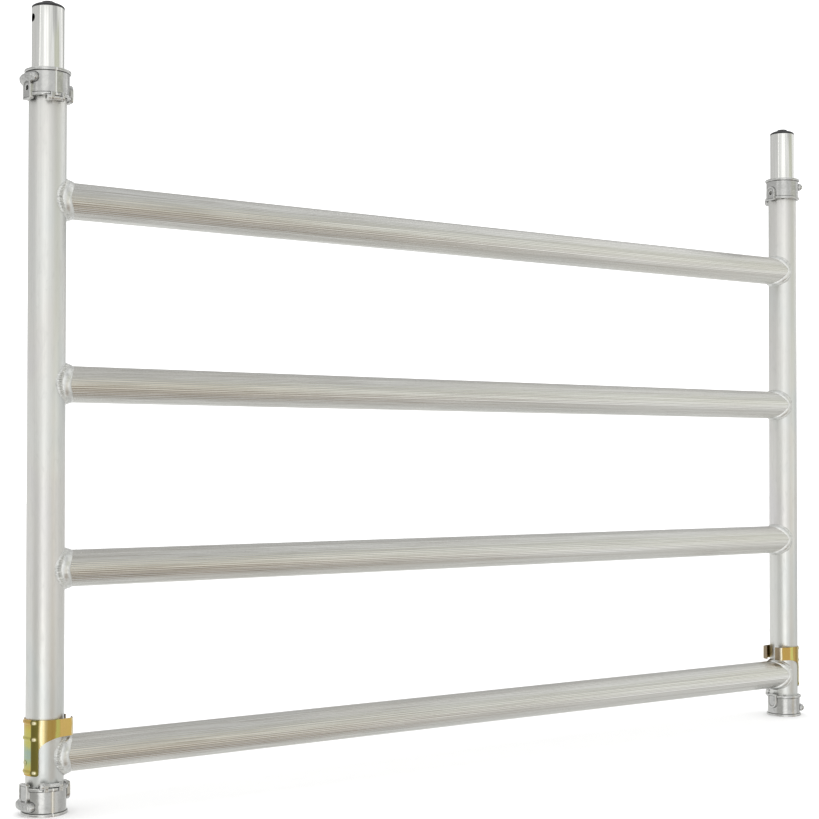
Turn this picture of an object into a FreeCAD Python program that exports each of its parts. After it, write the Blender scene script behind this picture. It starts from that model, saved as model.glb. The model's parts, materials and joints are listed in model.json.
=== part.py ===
import FreeCAD
import Part
import math
import os

os.makedirs("parts", exist_ok=True)

# Aluminium scaffold tower end frame: two legs, four welded rungs, a spigot and a
# bung on each leg, a clamped cast collar at each leg end, and a sprung interlock
# clip near each foot. All sizes are millimetres. X runs along the rungs, Z is up,
# and the origin is on the ground, midway between the legs.

# Legs
leg_spacing = 1450.0
leg_height = 1000.0
leg_radius = 25.4
leg_bore_radius = 22.2
socket_radius = 22.4
socket_depth = 60.0
socket_groove_radius = 23.4
socket_groove_width = 3.0
mouth_chamfer = 0.8

# Rungs
rung_count = 4
rung_pitch = 250.0
first_rung_height = 77.0
rung_radius = 25.0
rung_bore_radius = 22.6
reed_count = 54
reed_depth = 0.4
weld_radius = 4.4
fit_up_gap = 0.05

# Spigots and bungs
spigot_radius = 21.8
spigot_tail_radius = 22.15
spigot_bore_radius = 18.8
spigot_exposed = 85.0
spigot_buried = 110.0
spigot_chamfer = 0.8
spigot_pin_radius = 3.0
spigot_pin_length = 49.6
spigot_pin_depth = 20.0
bung_radius = 21.7
bung_plug_radius = 18.75
bung_plug_depth = 6.4
bung_rim = 1.6
bung_dome_rise = 6.4
bung_disc_radius = 9.5
bung_disc_rise = 9.2

# Lock holes sit the same height above each frame's foot and above each leg top.
lock_height = 70.0
lock_hole_radius = 5.5

# Cast collars: one split casting each, its slit and screw on the same side
collar_height = 38.0
collar_bore_radius = 25.45
barrel_radius = 29.0
flange_radius = 31.2
flange_thickness = 4.0
casting_edge = 0.6
slit_width = 0.8
groove_count = 4
groove_width = 6.0
groove_radius = 27.1
tongue_half_width = 9.5
tongue_face = 33.2
tongue_end = 15.4
outer_tongue_top = 43.0
inner_tongue_top = 40.5
tongue_back = 28.8
tongue_border = 2.4
tongue_corner = 3.0
tongue_recess = 0.9
tongue_hole_radius = 3.6
tongue_hole_height = 27.0
outer_tongue_turn = 9.5
lug_reach = 37.5
lug_section_radius = 6.5
lug_height = 13.3
lug_start_angle = -36.0
lug_end_angle = 32.0

# Collar screws, M6 cap heads, across the slit just clear of the flange
screw_radius = 3.0
screw_hole_radius = 3.1
screw_reach = 28.8
screw_height = 41.3
ear_radius = 4.4
foot_ears = ((7.5, 13.5), (-13.0, -8.0))
top_ears = ((3.5, 8.5), (-11.0, -7.5))
head_radius = 4.6
head_length = 5.4
head_edge = 0.6
head_clearance = 0.4
socket_width = 5.0
head_socket_depth = 3.0
washer_gap = 0.05

# Interlock clips: a wrap, two converging arms and a hooked lip on each arm
clip_bore_radius = 25.8
clip_thickness = 1.5
clip_low = 53.4
clip_high = 128.0
band_low = 104.4
strip_edge = 16.7
wing_low = 86.0
wrap_angle = 93.0
arm_root_length = 10.0
arm_bend_radius = 10.0
arm_bend_angle = 10.0
arm_length = 16.4
lip_bend_radius = 2.0
lip_bend_angle = 64.0
lip_length = 10.5
strip_corner = 3.5
rib_heights = (124.0, 102.2, 58.0)
rib_proud = 1.1
rib_foot = 2.4
rib_crown = 1.2
hinge_height = 105.2
split_gap = 0.5
lock_pin_radius = 3.5
lock_pin_tip = 15.5
lock_pin_nose = 1.2
rivet_neck_radius = 2.4
rivet_hole_radius = 2.5
rivet_head_radius = 3.6
rivet_crown_radius = 2.9
rivet_head_proud = 1.2

X = FreeCAD.Vector(1, 0, 0)
Y = FreeCAD.Vector(0, 1, 0)
Z = FreeCAD.Vector(0, 0, 1)
ORIGIN = FreeCAD.Vector(0, 0, 0)
MARGIN = 5.0
SAME_PLACE = 0.001
REACH = 3 * leg_radius


def point(x, y, z):
    return FreeCAD.Vector(x, y, z)


def cylinder(radius, start, length, axis=Z):
    return Part.makeCylinder(radius, length, start, axis)


def box(low, high):
    size = high - low
    return Part.makeBox(size.x, size.y, size.z, low)


def upright(radius, low, high):
    """A round bar on the leg axis between two heights."""
    return cylinder(radius, point(0, 0, low), high - low)


def fuse(shapes):
    whole = shapes[0].multiFuse(shapes[1:])
    return whole.removeSplitter()


def revolved(outline):
    """A ring about Z from a closed outline of (radius, height) corners."""
    corners = [point(radius, 0, height) for radius, height in outline]
    face = Part.Face(Part.makePolygon(corners + corners[:1]))
    return face.revolve(ORIGIN, Z, 360)


def front_prism(wire):
    """The region that a wire in the XZ plane bounds, thickened both ways along Y."""
    shifted = wire.translated(point(0, -REACH, 0))
    return Part.Face(shifted).extrude(Y * (2 * REACH))


def place_on_leg(shape, side):
    """Moves a piece built about one leg, outward along +X, to the left (-1) or right (+1) leg."""
    placed = shape.copy()
    if side < 0:
        placed.rotate(ORIGIN, Z, 180)
    placed.translate(X * (side * leg_spacing / 2))
    return placed


def at_leg_top(shape):
    """The mirror image, about the leg's mid-height, of a piece at the foot."""
    return shape.mirror(Z * (leg_height / 2), Z)


# ---- Legs, spigots and bungs: built about one leg axis, outward along +X ----

def leg():
    bore = upright(leg_bore_radius, -MARGIN, leg_height + MARGIN)
    socket = upright(socket_radius, -MARGIN, socket_depth)
    run_out = upright(socket_groove_radius, socket_depth, socket_depth + socket_groove_width)
    lead_in = Part.makeCone(
        socket_radius + mouth_chamfer, socket_radius, mouth_chamfer, ORIGIN, Z
    )
    lock_hole = cylinder(lock_hole_radius, Z * lock_height, leg_radius + MARGIN, X)
    pin_hole = spigot_pin_bar(leg_radius + MARGIN)
    tube = upright(leg_radius, 0, leg_height)
    return tube.cut([bore, socket, run_out, lead_in, lock_hole, pin_hole])


def spigot_pin_bar(half_length):
    start = point(0, -half_length, leg_height - spigot_pin_depth)
    return cylinder(spigot_pin_radius, start, 2 * half_length, Y)


def spigot():
    top = leg_height + spigot_exposed
    bottom = leg_height - spigot_buried
    body = revolved([
        (spigot_bore_radius, bottom),
        (spigot_tail_radius - spigot_chamfer, bottom),
        (spigot_tail_radius, bottom + spigot_chamfer),
        (spigot_tail_radius, leg_height),
        (spigot_radius, leg_height),
        (spigot_radius, top - spigot_chamfer),
        (spigot_radius - spigot_chamfer, top),
        (spigot_bore_radius, top),
    ])
    lock_centre = Z * (leg_height + lock_height)
    lock_hole = cylinder(lock_hole_radius, lock_centre, leg_radius, X)
    return body.cut([lock_hole, spigot_pin_bar(leg_radius)])


def spigot_pin():
    return spigot_pin_bar(spigot_pin_length / 2)


def bung():
    seat = leg_height + spigot_exposed
    plug = upright(bung_plug_radius, seat - bung_plug_depth, seat + bung_rim)
    rim = upright(bung_radius, seat, seat + bung_rim)
    dome_radius = (bung_radius ** 2 + bung_dome_rise ** 2) / (2 * bung_dome_rise)
    dome_centre = seat + bung_rim + bung_dome_rise - dome_radius
    ball = Part.makeSphere(dome_radius, Z * dome_centre)
    dome = ball.common(upright(bung_radius, seat + bung_rim, seat + MARGIN + bung_disc_rise))
    disc = upright(bung_disc_radius, seat, seat + bung_disc_rise)
    disc_edge = disc.Edges[0]
    disc = disc.makeChamfer(casting_edge, [disc_edge])
    return fuse([plug, rim, dome, disc])


# ---- Rungs and their welds: rung axis along X ----

def reeded_outline():
    """The rung's outside: shallow convex reeds side by side all the way round."""
    step = 2 * math.pi / reed_count
    valley = rung_radius - reed_depth

    def polar(radius, angle):
        return point(0, radius * math.cos(angle), radius * math.sin(angle))

    arcs = []
    for reed in range(reed_count):
        start = polar(valley, reed * step)
        crest = polar(rung_radius, (reed + 0.5) * step)
        end = polar(valley, (reed + 1) * step)
        arcs.append(Part.Arc(start, crest, end).toShape())
    return Part.Wire(arcs)


def leg_envelope(side):
    return place_on_leg(upright(leg_radius + fit_up_gap, -MARGIN, leg_height), side)


def rung(height):
    start = point(-leg_spacing / 2, 0, height)
    solid = Part.Face(reeded_outline().translated(start)).extrude(X * leg_spacing)
    bore = cylinder(rung_bore_radius, start - X * MARGIN, leg_spacing + 2 * MARGIN, X)
    return solid.cut([bore, leg_envelope(-1), leg_envelope(1)])


def weld_arc(rise):
    """Half of the saddle that a rung end makes on a leg: an ellipse tilted at 45 degrees."""
    long_axis = point(-1, 0, rise).normalize()
    ellipse = Part.Ellipse(long_axis * (leg_radius * math.sqrt(2)), Y * leg_radius, ORIGIN)
    return Part.ArcOfEllipse(ellipse, -math.pi / 2, math.pi / 2).toShape()


def weld():
    """The fillet bead round one rung end, on the inner side of a leg whose axis is Z."""
    beads = []
    for rise in (-1, 1):
        arc = weld_arc(rise)
        tangent = arc.tangentAt(arc.FirstParameter)
        first_end = arc.valueAt(arc.FirstParameter)
        ring = Part.makeCircle(weld_radius, first_end, tangent)
        beads.append(Part.Wire([arc]).makePipeShell([Part.Wire([ring])], True, True))
    for side in (-1, 1):
        beads.append(Part.makeSphere(weld_radius, Y * (side * leg_radius)))
    leg_body = upright(leg_radius, -leg_spacing / 2, leg_spacing / 2)
    rung_body = cylinder(rung_radius, point(-2 * leg_radius, 0, 0), 2 * leg_radius, X)
    bead = beads[0].multiFuse(beads[1:])
    return bead.cut([leg_body, rung_body])


def rung_welds(height):
    bead = weld().translated(Z * height)
    return Part.makeCompound([place_on_leg(bead, side) for side in (-1, 1)])


# ---- Cast collars: foot collar about one leg axis, outward along +X, screw on the +Y side ----

def collar_ring():
    top_flange = collar_height - flange_thickness
    return revolved([
        (collar_bore_radius, 0),
        (flange_radius - casting_edge, 0),
        (flange_radius, casting_edge),
        (flange_radius, flange_thickness - casting_edge),
        (flange_radius - casting_edge, flange_thickness),
        (barrel_radius, flange_thickness),
        (barrel_radius, top_flange),
        (flange_radius - casting_edge, top_flange),
        (flange_radius, top_flange + casting_edge),
        (flange_radius, collar_height - casting_edge),
        (flange_radius - casting_edge, collar_height),
        (collar_bore_radius, collar_height),
    ])


def bore_grooves():
    """Relief grooves along the bore, one between each pair of contact pads."""
    groove = box(point(0, -groove_width / 2, -MARGIN),
                 point(groove_radius, groove_width / 2, collar_height + MARGIN))
    step = 360 / groove_count
    grooves = []
    for number in range(groove_count):
        turned = groove.copy()
        turned.rotate(ORIGIN, Z, (number + 0.5) * step)
        grooves.append(turned)
    return grooves


def tongue_outline(top, inset):
    """A tongue in the YZ plane: a half-round end towards the frame's end, soft corners at the other."""
    half_width = tongue_half_width - inset
    corner = tongue_corner - inset
    cut_in = corner * (1 - math.sqrt(0.5))
    ceiling = top - inset
    round_centre = tongue_end + tongue_half_width
    left_low = point(0, -half_width, round_centre)
    tip = point(0, 0, round_centre - half_width)
    right_low = point(0, half_width, round_centre)
    right_high = point(0, half_width, ceiling - corner)
    right_soft = point(0, half_width - cut_in, ceiling - cut_in)
    right_top = point(0, half_width - corner, ceiling)
    left_top = point(0, corner - half_width, ceiling)
    left_soft = point(0, cut_in - half_width, ceiling - cut_in)
    left_high = point(0, -half_width, ceiling - corner)
    edges = [
        Part.Arc(left_low, tip, right_low).toShape(),
        Part.makeLine(right_low, right_high),
        Part.Arc(right_high, right_soft, right_top).toShape(),
        Part.makeLine(right_top, left_top),
        Part.Arc(left_top, left_soft, left_high).toShape(),
        Part.makeLine(left_high, left_low),
    ]
    return Part.Wire(edges)


def tongue_pad(top, turn):
    """A tongue on the barrel with a raised border; its free end stands off the leg."""
    pad = Part.Face(tongue_outline(top, 0)).extrude(X * tongue_face)
    recess = Part.Face(tongue_outline(top, tongue_border)).extrude(X * tongue_recess)
    recess = recess.translated(X * (tongue_face - tongue_recess))
    stand_off = upright(tongue_back, collar_height, top + MARGIN)
    pad = pad.cut([recess, stand_off])
    pad.rotate(ORIGIN, Z, turn)
    return pad


def tongue_hole(turn):
    hole = cylinder(tongue_hole_radius, Z * tongue_hole_height, REACH, X)
    hole.rotate(ORIGIN, Z, turn)
    return hole


def collar_lug():
    """The round curved lug on the outward side, with a ball at each end."""
    centre_radius = lug_reach - lug_section_radius
    centre = point(centre_radius, 0, lug_height)
    section = Part.Face(Part.Wire([Part.makeCircle(lug_section_radius, centre, Y)]))
    pieces = [section.revolve(ORIGIN, Z, lug_end_angle - lug_start_angle)]
    pieces[0].rotate(ORIGIN, Z, lug_start_angle)
    for degrees in (lug_start_angle, lug_end_angle):
        ball = Part.makeSphere(lug_section_radius, centre)
        ball.rotate(ORIGIN, Z, degrees)
        pieces.append(ball)
    return fuse(pieces)


def screw_bar(radius, start_x, end_x):
    return cylinder(radius, point(start_x, screw_reach, screw_height), end_x - start_x, X)


def ear(start_x, end_x):
    """A screw ear on the flange: a round boss on a block that runs down into the flange."""
    boss = screw_bar(ear_radius, start_x, end_x)
    block = box(
        point(start_x, collar_bore_radius - MARGIN, collar_height - flange_thickness),
        point(end_x, screw_reach + ear_radius, screw_height),
    )
    return boss.fuse(block)


def collar(ears, drilled):
    """A split collar with a screw across its slit, the head on the outward side."""
    head_ear, threaded_ear = ears
    tongues = [tongue_pad(outer_tongue_top, outer_tongue_turn), tongue_pad(inner_tongue_top, 180)]
    holes = [tongue_hole(outer_tongue_turn), tongue_hole(180)] if drilled else []
    whole = fuse([collar_ring(), collar_lug(), ear(*head_ear), ear(*threaded_ear)] + tongues)
    bore = upright(collar_bore_radius, -MARGIN, outer_tongue_top + 2 * MARGIN)
    slit = box(
        point(-slit_width / 2, 0, -MARGIN),
        point(slit_width / 2, REACH, collar_height + MARGIN),
    )
    screw_hole = screw_bar(screw_hole_radius, -lug_reach, lug_reach)
    head_space = screw_bar(head_radius + head_clearance, head_ear[1], lug_reach)
    return whole.cut([bore, slit, screw_hole, head_space] + bore_grooves() + holes)


def hexagon(width, x):
    """A hexagonal face across the screw axis, from its width across flats."""
    corner_radius = width / math.sqrt(3)
    corners = []
    for corner in range(6):
        angle = corner * math.pi / 3
        corners.append(point(
            x,
            screw_reach + corner_radius * math.cos(angle),
            screw_height + corner_radius * math.sin(angle),
        ))
    return Part.Face(Part.makePolygon(corners + corners[:1]))


def collar_screw(ears):
    """An M6 cap screw that is threaded into the far ear and ends flush with it."""
    head_ear, threaded_ear = ears
    head_start = head_ear[1] + washer_gap
    head_end = head_start + head_length
    shank = screw_bar(screw_radius, threaded_ear[0], head_start)
    head = screw_bar(head_radius, head_start, head_end)
    crown = [edge for edge in head.Edges
             if isinstance(edge.Curve, Part.Circle) and abs(edge.Vertexes[0].X - head_end) < SAME_PLACE]
    head = head.makeChamfer(head_edge, crown)
    socket = hexagon(socket_width, head_end).extrude(X * -head_socket_depth)
    return fuse([shank, head]).cut(socket)


# ---- Interlock clips: about one leg axis, outward along +X ----

def bend_right(start, heading, radius, turn):
    """An arc in plan that turns right. Gives the edge, its end and the heading there."""
    to_centre = point(math.sin(heading), -math.cos(heading), 0)
    centre = start + to_centre * radius

    def reached(angle):
        back = point(math.sin(heading - angle), -math.cos(heading - angle), 0)
        return centre - back * radius

    end = reached(turn)
    return Part.Arc(start, reached(turn / 2), end).toShape(), end, heading - turn


def clip_plan():
    """The front half of the clip's inner face in plan: a wrap round the leg, then an arm
    that converges on the rung, and a lip hooked in towards the other arm."""
    steps = (
        (clip_bore_radius, wrap_angle, arm_root_length),
        (arm_bend_radius, arm_bend_angle, arm_length),
        (lip_bend_radius, lip_bend_angle, lip_length),
    )
    place = X * clip_bore_radius
    heading = -math.pi / 2
    edges = []
    for radius, degrees, straight in steps:
        arc, place, heading = bend_right(place, heading, radius, math.radians(degrees))
        ahead = place + point(math.cos(heading), math.sin(heading), 0) * straight
        edges += [arc, Part.makeLine(place, ahead)]
        place = ahead
    return Part.Wire(edges)


def plain_wrap():
    """The clip's plain sheet at full height, before its outline is trimmed."""
    face = clip_plan().makeOffset2D(-clip_thickness, 0, True, True)
    sheet = face.extrude(Z * (clip_high - clip_low)).translated(Z * clip_low)
    return sheet.fuse(sheet.mirror(ORIGIN, Y)).removeSplitter()


def ribbed_wrap():
    """A full ring of the clip's sheet with its pressed horizontal ribs."""
    outer = []
    for height in sorted(rib_heights):
        outer += [(0, height - rib_foot), (rib_proud, height - rib_crown),
                  (rib_proud, height + rib_crown), (0, height + rib_foot)]
    levels = [(0, clip_low)] + outer + [(0, clip_high)]
    outside = [(clip_bore_radius + clip_thickness + proud, height) for proud, height in levels]
    inside = [(clip_bore_radius + proud, height) for proud, height in levels]
    return revolved(outside + inside[::-1])


def strip_region():
    """The clip's outer strip seen from the front, with a rounded lower corner."""
    low_corner = point(strip_edge + strip_corner, 0, clip_low)
    inset = strip_corner * (1 - math.sqrt(0.5))
    corner_middle = point(strip_edge + inset, 0, clip_low + inset)
    edge_start = point(strip_edge, 0, clip_low + strip_corner)
    return front_prism(Part.Wire([
        Part.makeLine(point(REACH, 0, clip_low), low_corner),
        Part.Arc(low_corner, corner_middle, edge_start).toShape(),
        Part.makeLine(edge_start, point(strip_edge, 0, clip_high)),
        Part.makeLine(point(strip_edge, 0, clip_high), point(REACH, 0, clip_high)),
        Part.makeLine(point(REACH, 0, clip_high), point(REACH, 0, clip_low)),
    ]))


def wing_region():
    """The band seen from the front: level along its arms, then a long concave curve
    down to the strip's edge, and a lap onto the strip above the hinge line."""
    curve_start = -strip_edge
    lap_edge = strip_edge + clip_thickness
    lap_low = hinge_height + split_gap / 2
    centre = point(curve_start, 0, wing_low)
    sweep = Part.Ellipse(
        point(strip_edge, 0, wing_low), point(curve_start, 0, band_low), centre
    )
    quarter = Part.ArcOfEllipse(sweep, 0, math.pi / 2).toShape()
    return front_prism(Part.Wire([
        Part.makeLine(point(-REACH, 0, clip_high), point(-REACH, 0, band_low)),
        Part.makeLine(point(-REACH, 0, band_low), point(curve_start, 0, band_low)),
        quarter,
        Part.makeLine(point(strip_edge, 0, wing_low), point(strip_edge, 0, lap_low)),
        Part.makeLine(point(strip_edge, 0, lap_low), point(lap_edge, 0, lap_low)),
        Part.makeLine(point(lap_edge, 0, lap_low), point(lap_edge, 0, clip_high)),
        Part.makeLine(point(lap_edge, 0, clip_high), point(-REACH, 0, clip_high)),
    ]))


def strip():
    return ribbed_wrap().common(strip_region())


def above_hinge():
    low = point(-REACH, -REACH, hinge_height + split_gap / 2)
    return box(low, point(REACH, REACH, clip_high + MARGIN))


def below_hinge():
    low = point(strip_edge + split_gap, -REACH, clip_low - MARGIN)
    return box(low, point(REACH, REACH, hinge_height - split_gap / 2))


def clip_band():
    """The fixed part of the clip: the wrap, its two arms and the head of the strip."""
    wings = plain_wrap().common(wing_region())
    head = strip().common(above_hinge())
    return fuse([wings, head])


def clip_tongue():
    """The part of the clip that springs outward, with the rivet hole for its lock pin."""
    rivet_hole = cylinder(rivet_hole_radius, Z * lock_height, 2 * leg_radius, X)
    return strip().common(below_hinge()).cut(rivet_hole)


def lock_pin():
    """The lock pin, riveted through the tongue, with a bevelled nose inside the leg."""
    inner_face = clip_bore_radius
    outer_face = clip_bore_radius + clip_thickness
    head_end = outer_face + rivet_head_proud
    outline = [
        (0, lock_pin_tip),
        (lock_pin_radius - lock_pin_nose, lock_pin_tip),
        (lock_pin_radius, lock_pin_tip + lock_pin_nose),
        (lock_pin_radius, inner_face - rivet_head_proud),
        (rivet_neck_radius, inner_face - rivet_head_proud),
        (rivet_neck_radius, outer_face),
        (rivet_head_radius, outer_face),
        (rivet_crown_radius, head_end),
        (0, head_end),
    ]
    pin = revolved(outline)
    pin.rotate(ORIGIN, Y, 90)
    return pin.translated(Z * lock_height)


# ---- Export ----

def export(name, shape):
    solids = shape.Solids
    if not solids or not all(solid.isValid() for solid in solids):
        raise ValueError(name + " isn't made of valid solids")
    whole = solids[0] if len(solids) == 1 else Part.makeCompound(solids)
    whole.exportStep("parts/" + name + ".step")
    bounds = whole.BoundBox
    print(name, len(solids), round(whole.Volume), round(bounds.ZMin, 2), round(bounds.ZMax, 2))


def export_leg_pieces(name, side):
    pieces = {
        "leg": leg(),
        "spigot": spigot(),
        "spigot_pin": spigot_pin(),
        "spigot_bung": bung(),
        "clip_band": clip_band(),
        "clip_tongue": clip_tongue(),
        "clip_lock_pin": lock_pin(),
    }
    for piece, shape in pieces.items():
        export(name + "_" + piece, place_on_leg(shape, side))


def export_collars(name, side):
    foot = {"collar": collar(foot_ears, False), "collar_screw": collar_screw(foot_ears)}
    top = {"collar": collar(top_ears, True), "collar_screw": collar_screw(top_ears)}
    for piece in foot:
        export(name + "_foot_" + piece, place_on_leg(foot[piece], side))
        export(name + "_top_" + piece, place_on_leg(at_leg_top(top[piece]), side))


for leg_name, leg_side in (("left", -1), ("right", 1)):
    export_leg_pieces(leg_name, leg_side)
    export_collars(leg_name, leg_side)

for number in range(rung_count):
    rung_height = first_rung_height + number * rung_pitch
    export("rung_" + str(number + 1), rung(rung_height))
    export("rung_" + str(number + 1) + "_welds", rung_welds(rung_height))
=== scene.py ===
import json
import math

import bmesh
import bpy
import numpy as np
from mathutils import Matrix, Vector, noise


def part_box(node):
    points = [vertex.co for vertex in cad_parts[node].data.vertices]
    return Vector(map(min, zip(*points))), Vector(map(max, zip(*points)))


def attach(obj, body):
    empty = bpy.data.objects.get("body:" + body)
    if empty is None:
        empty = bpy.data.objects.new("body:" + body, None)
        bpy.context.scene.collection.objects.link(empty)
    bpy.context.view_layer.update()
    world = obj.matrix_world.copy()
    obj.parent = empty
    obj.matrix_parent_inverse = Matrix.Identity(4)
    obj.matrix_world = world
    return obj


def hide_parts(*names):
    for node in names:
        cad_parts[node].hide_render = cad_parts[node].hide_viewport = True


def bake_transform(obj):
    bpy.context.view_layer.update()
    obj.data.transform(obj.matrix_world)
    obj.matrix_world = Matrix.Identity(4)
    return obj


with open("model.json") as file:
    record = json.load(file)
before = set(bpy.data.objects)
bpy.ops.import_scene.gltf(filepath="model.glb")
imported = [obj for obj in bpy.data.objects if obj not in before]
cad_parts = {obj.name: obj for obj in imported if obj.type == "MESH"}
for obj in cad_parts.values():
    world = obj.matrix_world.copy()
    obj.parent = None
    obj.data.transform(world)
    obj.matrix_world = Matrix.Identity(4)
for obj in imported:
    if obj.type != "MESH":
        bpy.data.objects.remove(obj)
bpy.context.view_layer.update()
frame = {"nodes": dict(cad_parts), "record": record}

# Looks of an aluminium scaffold end frame. Lengths are metres; mm() turns
# millimetres into metres. Pieces about a leg are built in that leg's own frame,
# outward along +X and up along +Z, and on_leg() then puts them in place.

SIDES = (("left", -1), ("right", 1))
PLACES = ("foot", "top")
RUNGS = [name for name in sorted(frame["nodes"]) if name.startswith("rung_") and name[-1].isdigit()]
FULL_TURN = 2 * math.pi


def mm(length):
    return length * 0.001


def centre_of(node):
    low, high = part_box(node)
    return (low + high) / 2


LEG_LOW, LEG_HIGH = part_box("right_leg")
LEG_X = centre_of("right_leg").x
LEG_RADIUS = (LEG_HIGH.x - LEG_LOW.x) / 2
LEG_TOP = LEG_HIGH.z
LEG_BORE = mm(22.2)
LEG_EDGE = mm(0.5)
LEG_EDGE_BULGE = mm(0.15)
SOCKET_RADIUS = mm(22.4)
SOCKET_DEPTH = mm(60)
SOCKET_MOUTH = mm(0.8)
GROOVE_DEPTH = mm(1.0)
GROOVE_WIDTH = mm(3)
RUNG_RADIUS = mm(25)
RUNG_BORE = mm(22.6)
REEDS = 54
REED_DEPTH = mm(0.3)
LOCK_HOLE_RADIUS = mm(5.5)
LOCK_CUT_START = mm(5)
LOCK_CUT_END = mm(40)
LOCK_HEIGHT = centre_of("right_clip_lock_pin").z
SPIGOT_LOW, SPIGOT_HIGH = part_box("right_spigot")
SPIGOT_RADIUS = mm(21.8)
SPIGOT_TAIL = mm(22.15)
SPIGOT_TAIL_CHAMFER = mm(0.8)
SPIGOT_EDGE = mm(0.9)
SPIGOT_EDGE_BULGE = (mm(0.25), mm(0.3))
SPIGOT_BORE = mm(18.8)
TUBE_SEGMENTS = 144
CUTTER_SEGMENTS = 64


# ---- Mesh helpers ----

def add_mesh(name, points, faces):
    mesh = bpy.data.meshes.new(name)
    mesh.from_pydata([tuple(p) for p in points], [], faces)
    mesh.validate()
    piece = bpy.data.objects.new(name, mesh)
    bpy.context.scene.collection.objects.link(piece)
    return piece


def grid_piece(name, points, close_rows, close_columns):
    """A mesh from points[row][column], joined round either way where it closes."""
    rows, columns = points.shape[:2]
    row_steps = np.arange(rows if close_rows else rows - 1)
    column_steps = np.arange(columns if close_columns else columns - 1)
    r, c = np.meshgrid(row_steps, column_steps, indexing="ij")
    r_next, c_next = (r + 1) % rows, (c + 1) % columns
    quads = np.stack([r * columns + c, r_next * columns + c,
                      r_next * columns + c_next, r * columns + c_next], axis=-1)
    return add_mesh(name, points.reshape(-1, 3), quads.reshape(-1, 4).tolist())


def face_outward(piece):
    """Turns a closed mesh's faces outward, if its volume comes out negative."""
    mesh = piece.data
    mesh.calc_loop_triangles()
    points = np.array([v.co for v in mesh.vertices])
    corners = points[np.array([t.vertices for t in mesh.loop_triangles])]
    volume = np.einsum("ij,ij->i", corners[:, 0], np.cross(corners[:, 1], corners[:, 2])).sum()
    if volume < 0:
        mesh.flip_normals()


def smooth(piece, sharp_degrees):
    piece.data.shade_smooth()
    piece.data.set_sharp_from_angle(angle=math.radians(sharp_degrees))


def close_poles(piece):
    """Merges the points that share a place on the axis, and drops the bare edges left over."""
    shape = bmesh.new()
    shape.from_mesh(piece.data)
    bmesh.ops.remove_doubles(shape, verts=shape.verts, dist=mm(0.001))
    bare = [edge for edge in shape.edges if not edge.link_faces]
    bmesh.ops.delete(shape, geom=bare, context="EDGES")
    shape.to_mesh(piece.data)
    shape.free()


def lathe(name, profile, segments):
    """A solid of revolution about Z through a closed profile of (radius, height)."""
    turns = np.linspace(0, FULL_TURN, segments, endpoint=False)
    radii = np.array([r for r, _ in profile])
    heights = np.array([z for _, z in profile])
    points = np.stack([
        np.cos(turns)[:, None] * radii, np.sin(turns)[:, None] * radii,
        np.broadcast_to(heights, (segments, len(profile)))], axis=-1)
    piece = grid_piece(name, points, True, True)
    if radii.min() == 0:
        close_poles(piece)
    face_outward(piece)
    return piece


def round_bar(radius, start, end):
    """A cutter between two points."""
    axis = end - start
    profile = [(0, 0), (radius, 0), (radius, axis.length), (0, axis.length)]
    bar = lathe("cutter", profile, CUTTER_SEGMENTS)
    bar.matrix_world = Matrix.Translation(start) @ axis.to_track_quat("Z", "Y").to_matrix().to_4x4()
    bpy.context.view_layer.update()
    return bar


def cut(piece, cutter):
    """Takes the cutter out of the piece for good."""
    modifier = piece.modifiers.new("cut", "BOOLEAN")
    modifier.operation = "DIFFERENCE"
    modifier.object = cutter
    modifier.solver = "EXACT"
    keep_modifiers(piece)
    bpy.data.objects.remove(cutter)


def keep_modifiers(piece):
    bpy.context.view_layer.update()
    shown = piece.evaluated_get(bpy.context.evaluated_depsgraph_get())
    mesh = bpy.data.meshes.new_from_object(shown)
    piece.modifiers.clear()
    piece.data = mesh


def on_leg(piece, side, lift=0.0):
    """Moves a piece from a leg's own frame to that leg, into its vertices."""
    turn = Matrix.Rotation(math.pi if side < 0 else 0, 4, "Z")
    piece.data.transform(Matrix.Translation((side * LEG_X, 0, lift)) @ turn @ piece.matrix_world)
    piece.matrix_world = Matrix.Identity(4)


def put(piece, body, material, slot, *nodes):
    """Gives a finished piece its material, its body and the CAD nodes it stands for."""
    piece.data.materials.clear()
    piece.data.materials.append(material)
    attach(piece, body)
    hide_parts(*nodes)


# ---- Materials ----

# Where a Mix node keeps its two colours and their blend.
COLOUR_A, COLOUR_B, COLOUR_MIXED = 6, 7, 2


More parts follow.
